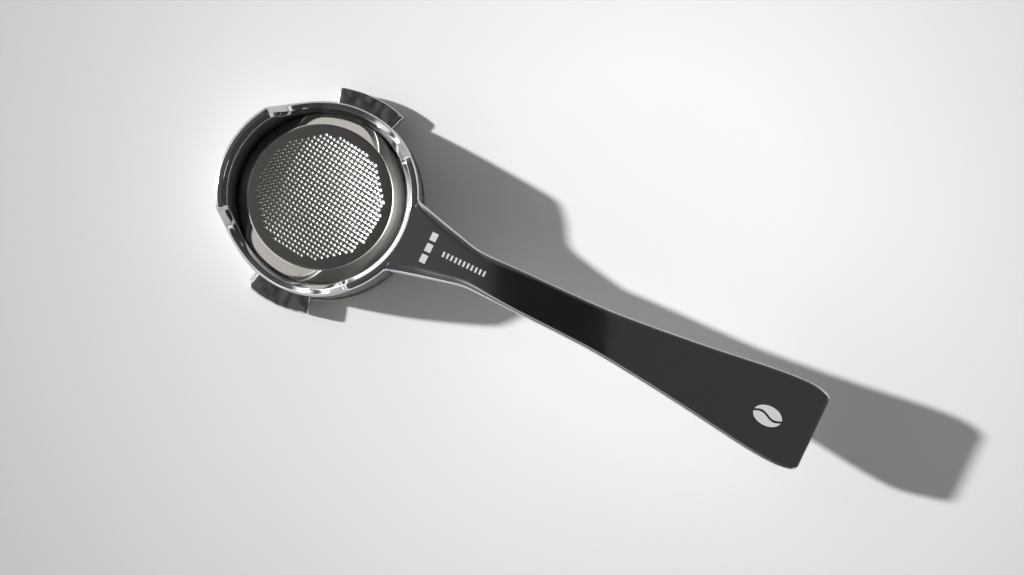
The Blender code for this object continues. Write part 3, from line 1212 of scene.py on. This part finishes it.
@dataclass
class FilterBasket:
    """A drawn cup with a flange, open side down, its floor pierced by a square grid of fine holes.

    Attributes:
        axis_x: Where the ring's axis stands.
        grid_turn: How far the grid is turned.
        hole_lip: How far in from its rim a hole is dished.
        hole_dish: How deep it is dished.
        hole_rounding: How much a square hole's corners are cut, as a share of hole_r.
    """

    axis_x: float
    flange_r: float = 35.0 * MM
    flange_t: float = 1.5 * MM
    cup_r: float = 29.4 * MM
    wall: float = 0.7 * MM
    shoulder_z: float = 12.0 * MM
    base_r: float = 24.9 * MM
    height: float = 18.3 * MM
    corner: float = 1.0 * MM
    plate_r: float = 22.6 * MM
    field_r: float = 21.9 * MM
    pitch: float = 1.507 * MM
    grid_turn: float = math.radians(-6.7)
    hole_r: float = 0.62 * MM
    hole_lip: float = 0.41 * MM
    hole_dish: float = 0.25 * MM
    hole_rounding: float = 0.88
    hole_sides: int = 12
    steps: int = 144

    def shell(self) -> Object:
        """Turn everything round the pierced plate, open where the plate goes.

        Returns:
            The shell.
        """
        inner = self.cup_r - self.wall
        drop = 1.1 * self.wall
        corners = [
            Corner(self.plate_r, self.height - self.wall), Corner(self.plate_r, self.height),
            Corner(self.base_r - 0.1 * MM, self.height, self.corner),
            Corner(self.cup_r, self.shoulder_z, 0.8 * MM), Corner(self.cup_r, self.flange_t, 0.35 * MM),
            Corner(self.flange_r, self.flange_t, 0.5 * MM), Corner(self.flange_r, 0.0, 0.4 * MM),
            Corner(inner, 0.0, 0.8 * MM), Corner(inner, self.shoulder_z - 0.4 * MM, MM),
            Corner(self.base_r - drop, self.height - self.wall, 0.6 * MM)]
        piece = turned("basket_shell", rounded(corners, 6), self.axis_x, self.steps)
        with editing(piece):
            choose(piece, Element.FACE, self.is_seam)
            bpy.ops.mesh.delete(type="FACE")
        return piece

    def radius(self, place: Vector) -> float:
        """Distance of a place from the ring's axis."""
        return math.hypot(place.x - self.axis_x, place.y)

    def is_seam(self, face: bmesh.types.BMFace) -> bool:
        """Whether a face is the upright band where the plate joins the shell."""
        off = abs(self.radius(face.calc_center_median()) - self.plate_r)
        return abs(face.normal.z) < 0.1 and off < 0.1 * MM

    def plate(self) -> Object:
        """Lay out the grid, round off each hole, fill out to a circle, then dish and pierce the holes.

        Returns:
            The pierced plate, open at its edge.
        """
        cells = 2 * math.ceil(self.field_r / self.pitch)
        middle = (self.axis_x, 0.0, self.height)
        bpy.ops.mesh.primitive_grid_add(x_subdivisions=cells, y_subdivisions=cells,
                                        size=cells * self.pitch, location=middle)
        piece = bpy.context.object
        activate(piece)
        bpy.ops.object.transform_apply(location=True, rotation=False, scale=False)
        with editing(piece):
            # With no window the operator turns the other way, so the sign is turned round.
            bpy.ops.transform.rotate(value=-self.grid_turn, orient_axis="Z", center_override=middle)
            reach = self.field_r - self.hole_r
            choose(piece, Element.FACE, lambda face: self.radius(face.calc_center_median()) > reach)
            bpy.ops.mesh.delete(type="FACE")
            bpy.ops.mesh.select_all(action="SELECT")
            bpy.ops.mesh.inset(use_individual=True, thickness=self.pitch / 2 - self.hole_r)
            bpy.ops.mesh.select_mode(type="VERT")
            bpy.ops.mesh.bevel(offset=self.hole_rounding * self.hole_r, segments=2, affect="VERTICES")
            bpy.ops.mesh.select_all(action="DESELECT")
            bpy.ops.mesh.primitive_circle_add(vertices=self.steps, radius=self.plate_r, location=middle)
            choose(piece, Element.EDGE, lambda edge: edge.is_boundary or edge.is_wire)
            bpy.ops.mesh.fill(use_beauty=True)
            choose(piece, Element.FACE, lambda face: len(face.verts) == self.hole_sides)
            bpy.ops.mesh.inset(use_individual=True, thickness=self.hole_lip, depth=-self.hole_dish)
            bpy.ops.mesh.delete(type="FACE")
            bpy.ops.mesh.select_all(action="SELECT")
            bpy.ops.mesh.extrude_region_move(TRANSFORM_OT_translate={"value": (0.0, 0.0, -self.wall)})
            choose(piece, Element.FACE, self.is_seam)
            bpy.ops.mesh.delete(type="FACE")
        return piece

    def build(self, material: Material) -> Object:
        """Weld the pierced plate into the turned shell.

        Args:
            material: The finish of the basket.

        Returns:
            The finished basket.
        """
        piece = self.shell()
        plate = self.plate()
        activate(piece)
        plate.select_set(True)
        bpy.ops.object.join()
        piece.name = piece.data.name = "pierced_basket"
        close_up(piece)
        polish(piece)
        dress(piece, material)
        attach(piece, "basket")
        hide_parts("filter_basket")
        log.info("pierced_basket: %d faces", len(piece.data.polygons))
        return piece


@dataclass
class RetainingSpring:
    """The open ring of wire that holds the basket, three shallow waves in its round."""

    axis_x: float
    wire_r: float = 0.7 * MM
    ring_r: float = 30.75 * MM
    wave: float = 0.25 * MM
    height: float = 6.0 * MM
    opening: float = math.radians(24.0)
    points: int = 181
    sides: int = 16
    tip_round: float = 0.3 * MM

    def build(self, material: Material) -> Object:
        """Draw the wire round, with its two ends rounded over.

        Args:
            material: The finish of the wire.

        Returns:
            The finished spring.
        """
        sweep = math.tau - self.opening
        sections = []
        for i in range(self.points):
            share = (1 - math.cos(math.pi * i / (self.points - 1))) / 2
            angle = math.pi - sweep / 2 + sweep * share
            to_end = min(share, 1 - share) * sweep * self.ring_r
            thick = self.wire_r - rounded_end(to_end, self.tip_round)
            middle = self.ring_r + self.wave * math.cos(3 * angle)
            section = []
            for k in range(self.sides):
                turn = math.tau * k / self.sides
                r = middle + thick * math.cos(turn)
                section.append(Vector((self.axis_x + r * math.cos(angle), r * math.sin(angle),
                                       self.height + thick * math.sin(turn))))
            sections.append(section)
        piece = drawn_out("wire_spring", sections)
        polish(piece)
        dress(piece, material)
        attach(piece, "spring")
        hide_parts("basket_retaining_spring")
        log.info("wire_spring: %d faces", len(piece.data.polygons))
        return piece


# Studio


@dataclass
class Studio:
    """Table, lights and camera.

    Attributes:
        turn: How far the view's right side is turned from +X.
        key_down: How far the key light's way across the table falls away from the view's right.
        key_slope: How far the key light travels along the table for its height.
        room_tones: The room's tone by the height of the ray, as (height, tone).
        room_side: How much brighter the room is on the key light's side.
        room_edge: Across the view, where that side ends.
        wall_glow: Brightness of the lit wall on the key light's side.
        wall_band: Where the wall is lit, as (height, share).
        wall_edge: Across the view, where the lit wall ends.
        softboxes: Name, width, height, place, watts and whether mirrors show it.
        pool_of_light_tones: The table's colour in a painted pool of light, painted lighter where the light
            falls and darker away from there.
        pool_of_light_fade: Distances over which the painted pool of light fades.
        right: Direction of the view's right side, flat on the table.
        up: Direction of the view's top, flat on the table.
    """

    turn: float = math.radians(25.8)
    camera_place: tuple[float, float, float] = (-0.0010, -0.0199, 0.501)
    camera_aim: tuple[float, float, float] = (-0.0019, 0.0014, 0.0)
    camera_lens: float = 49.95
    key_strength: float = 5.7
    key_width: float = math.radians(2.5)
    key_down: float = math.radians(13.0)
    key_slope: float = 1.94
    room_tones: Curve = (
        (0.0, 1.6), (0.06, 1.3), (0.13, 0.14), (0.2, 0.055), (0.5, 0.06), (0.8, 0.08), (0.93, 0.07),
        (1.0, 0.06))
    room_side: float = 2.0
    room_edge: Pair = (-0.2, 0.0)
    wall_glow: float = 1.15
    wall_band: Curve = ((0.22, 0.0), (0.32, 1.0), (0.6, 1.0), (0.75, 0.0))
    wall_edge: Pair = (-0.6, -0.25)
    card_place: Vector = Vector((-0.012, 0.02, 0.52))
    card_size: Pair = (0.078, 0.12)
    softboxes: tuple[tuple[str, float, float, tuple[float, float, float], float, bool], ...] = (
        ("fill_softbox", 0.9, 0.3, (-0.15, 0.75, 0.35), 0.7, False),
        ("side_softbox", 0.2, 0.3, (0.8, 0.25, 0.75), 0.4, True))
    table_colour: str = "EDEDEB"
    # The table's colour is painted lighter round this point and darker away from it: a painted pool of
    # light.
    pool_of_light_middle: tuple[float, float, float] = (0.0285, 0.05, 0.0)
    pool_of_light_tones: Pair = (1.0, 0.56)
    pool_of_light_fade: Pair = (0.05, 0.26)
    table_cloud: float = 111.0 * MM
    sunk: float = 0.02 * MM
    right: Vector = field(init=False)
    up: Vector = field(init=False)

    def __post_init__(self) -> None:
        """Work out the view's directions on the table."""
        self.right = Vector((math.cos(self.turn), math.sin(self.turn), 0.0))
        self.up = Vector((-math.sin(self.turn), math.cos(self.turn), 0.0))

    def stand(self, data: ID, place: Vector, target: Vector = Vector(),
              upward: Vector = Vector((0.0, 0.0, 1.0))) -> Object:
        """Put up a camera or a lamp and point it.

        Args:
            data: The camera or lamp.
            place: Where it stands.
            target: What it points at.
            upward: The direction that is kept upright.

        Returns:
            Its object.
        """
        obj = bpy.data.objects.new(data.name, data)
        bpy.context.scene.collection.objects.link(obj)
        back = (place - target).normalized()
        side = upward.cross(back).normalized()
        turn = Matrix((side, back.cross(side), back)).transposed()
        obj.matrix_world = Matrix.Translation(place) @ turn.to_4x4()
        return obj

    def camera(self) -> None:
        """The camera, almost straight above, turned so that the handle points down to the right."""
        data = bpy.data.cameras.new("camera")
        data.lens = self.camera_lens
        data.clip_start = 0.01
        place, target = Vector(self.camera_place), Vector(self.camera_aim)
        bpy.context.scene.camera = self.stand(data, place, target, self.up)

    def key(self) -> None:
        """A low, hard key light from the view's left, a little above its middle."""
        data = bpy.data.lights.new("key", "SUN")
        data.energy = self.key_strength
        data.angle = self.key_width
        travel = self.right * math.cos(self.key_down) - self.up * math.sin(self.key_down)
        self.stand(data, Vector((0.0, 0.0, 1.0)) - travel * self.key_slope)

    def fill(self) -> None:
        """The soft area lights, which face the object."""
        for name, across, along, place, power, mirrored in self.softboxes:
            data = bpy.data.lights.new(name, "AREA")
            data.shape = "RECTANGLE"
            data.size, data.size_y = across, along
            data.energy = power
            self.stand(data, Vector(place)).visible_glossy = mirrored

    def ramp(self, tree: NodeTree, value: NodeSocket,
             tones: Sequence[Pair]) -> Node:
        """A colour ramp through grey tones.

        Args:
            tree: The node tree to add it to.
            value: What it reads.
            tones: The place and the tone of each stop.

        Returns:
            The ramp.
        """
        ramp = add(tree, "ValToRGB", {0: value})
        stops = ramp.color_ramp.elements
        while len(stops) < len(tones):
            stops.new(1.0)
        for stop, (place, tone) in zip(stops, tones):
            stop.position = place
            stop.color = (tone, tone, tone, 1.0)
        return ramp

    def room(self) -> None:
        """The room's own light: dark overhead, paler towards the walls and on the key light's side."""
        world = bpy.data.worlds.new("room")
        world.use_nodes = True
        bpy.context.scene.world = world
        tree = world.node_tree
        ray = add(tree, "TexCoord").outputs["Generated"]
        axes = add(tree, "SeparateXYZ", {0: ray})
        ramp = self.ramp(tree, axes.outputs[2], self.room_tones)
        band = self.ramp(tree, axes.outputs[2], self.wall_band)
        across = add(tree, "VectorMath", {0: ray, 1: self.right}, operation="DOT_PRODUCT")
        layers = []
        for tones, (start, end), near, far in ((ramp, self.room_edge, self.room_side, 1.0),
                                               (band, self.wall_edge, self.wall_glow, 0.0)):
            share = add(tree, "MapRange", {"Value": across.outputs["Value"], "From Min": start,
                                           "From Max": end, "To Min": near, "To Max": far})
            layers.append(add(tree, "VectorMath", {0: tones.outputs[0], "Scale": share.outputs[0]},
                              operation="SCALE").outputs[0])
        tone = add(tree, "VectorMath", dict(enumerate(layers)), operation="ADD")
        tree.links.new(tone.outputs[0], tree.nodes["Background"].inputs["Color"])

    def card(self) -> None:
        """A black card over the camera, which only mirrors can see."""
        bpy.ops.mesh.primitive_plane_add(size=1.0)
        card = bpy.context.object
        card.name = "black_card"
        matrix = Matrix.Translation(self.card_place) @ Matrix.Rotation(self.turn, 4, "Z")
        card.data.transform(matrix @ Matrix.Diagonal((*self.card_size, 1.0, 1.0)))
        material = bpy.data.materials.new("black_card")
        material.use_nodes = True
        shader = material.node_tree.nodes["Principled BSDF"]
        shader.inputs["Base Color"].default_value = linear("101112")
        shader.inputs["Roughness"].default_value = 0.9
        card.data.materials.append(material)
        card.visible_camera = card.visible_diffuse = card.visible_shadow = False

    def table(self) -> None:
        """A white table, smooth laminate with a faint unevenness.

        Its colour is painted lighter round one point and darker away from it: a painted pool of light.
        """
        bpy.ops.mesh.primitive_grid_add(x_subdivisions=4, y_subdivisions=4, size=4.0,
                                        location=(0.0, 0.0, -self.sunk))
        table = bpy.context.object
        table.name = "table"
        material = bpy.data.materials.new("white_laminate")
        material.use_nodes = True
        tree = material.node_tree
        shader = tree.nodes["Principled BSDF"]
        place = add(tree, "TexCoord").outputs["Object"]
        cloud = add(tree, "TexNoise", {"Vector": place, "Scale": 1 / self.table_cloud, "Detail": 3.0})
        # Painted pool of light: the table's colour darkens with distance from the lit middle, and is then
        # multiplied by the faint random cloud.
        away = add(tree, "VectorMath", {0: place, 1: self.pool_of_light_middle}, operation="DISTANCE")
        start, end = self.pool_of_light_fade
        lit, unlit = self.pool_of_light_tones
        painted_pool = add(tree, "MapRange", {"Value": away.outputs["Value"], "From Min": start, "From Max": end,
                                      "To Min": lit, "To Max": unlit})
        patchy = add(tree, "MapRange", {"Value": cloud.outputs[0], "From Min": 0.3, "From Max": 0.7,
                                        "To Min": 0.98, "To Max": 1.0})
        depth = add(tree, "Math", {0: painted_pool.outputs[0], 1: patchy.outputs[0]}, operation="MULTIPLY")
        white = linear(self.table_colour)[:3]
        tone = add(tree, "VectorMath", {0: white, "Scale": depth.outputs[0]}, operation="SCALE")
        tree.links.new(tone.outputs[0], shader.inputs["Base Color"])
        shader.inputs["Roughness"].default_value = 0.45
        table.data.materials.append(material)

    def build(self) -> None:
        """Set up the table, the lights and the camera."""
        self.table()
        self.card()
        self.room()
        self.key()
        self.fill()
        self.camera()
        bpy.context.scene.view_settings.view_transform = "Standard"
        log.info("studio: %d softboxes", len(self.softboxes))


def face_marks(axis_x: float) -> tuple[Mark, ...]:
    """The marks on the handle's face: three bars across it, a row of ticks and a bean near the tip.

    Args:
        axis_x: Where the ring's axis stands.

    Returns:
        The marks.
    """
    bars = [Mark((axis_x + 41.5 * MM, y * MM), (2.2 * MM, 2.9 * MM)) for y in (-4.0, 0.0, 4.0)]
    ticks = Mark((axis_x + 54.4 * MM, 0.2 * MM), (0.7 * MM, 1.9 * MM), count=11, pitch=1.5 * MM)
    return (*bars, ticks, Bean((axis_x + 166.5 * MM, -1.4 * MM), (10.0 * MM, 6.6 * MM)))


def main() -> None:
    """Build the pieces in order."""
    logging.basicConfig(level=logging.INFO, format="%(message)s")
    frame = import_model()
    studio = Studio()
    studio.build()

    ring_low, ring_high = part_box("filter_basket")
    axis_x = (ring_low.x + ring_high.x) / 2
    plane = HandlePlane(axis_x)
    shape = HandleShape()
    mirror = BuffedSteel("buffed_cast_stainless", "C8CACC", 0.07, axis_x=axis_x, marks=face_marks(axis_x))
    sheet = TurnedSteel("pressed_stainless_sheet", "C9C5BF", 0.085, axis_x=axis_x)
    wire = BrushedSteel("drawn_spring_wire", "B5B6B7", 0.22)
    satin = BrushedSteel("brushed_stainless_sheet", "BEBFC0", 0.27)
    fastener = TurnedSteel("turned_stainless_screw", "B9BABB", 0.22, axis_x=axis_x, depth=0.003 * MM)
    rubber = Silicone("silicone_rubber", "232424", 0.55, metallic=0.0)

    back = HandleBack(plane, shape)
    FilterBasket(axis_x).build(sheet.material())
    RetainingSpring(axis_x).build(wire.material())
    PortafilterBody(plane, shape).build(back, mirror.material())
    back.cover(satin.material())
    back.screws(fastener.material())
    gasket = frame["nodes"]["cover_gasket"]
    dress(gasket, rubber.material())
    log.info("cover_gasket: packed node, dressed in silicone")


if __name__ == "__main__":
    main()
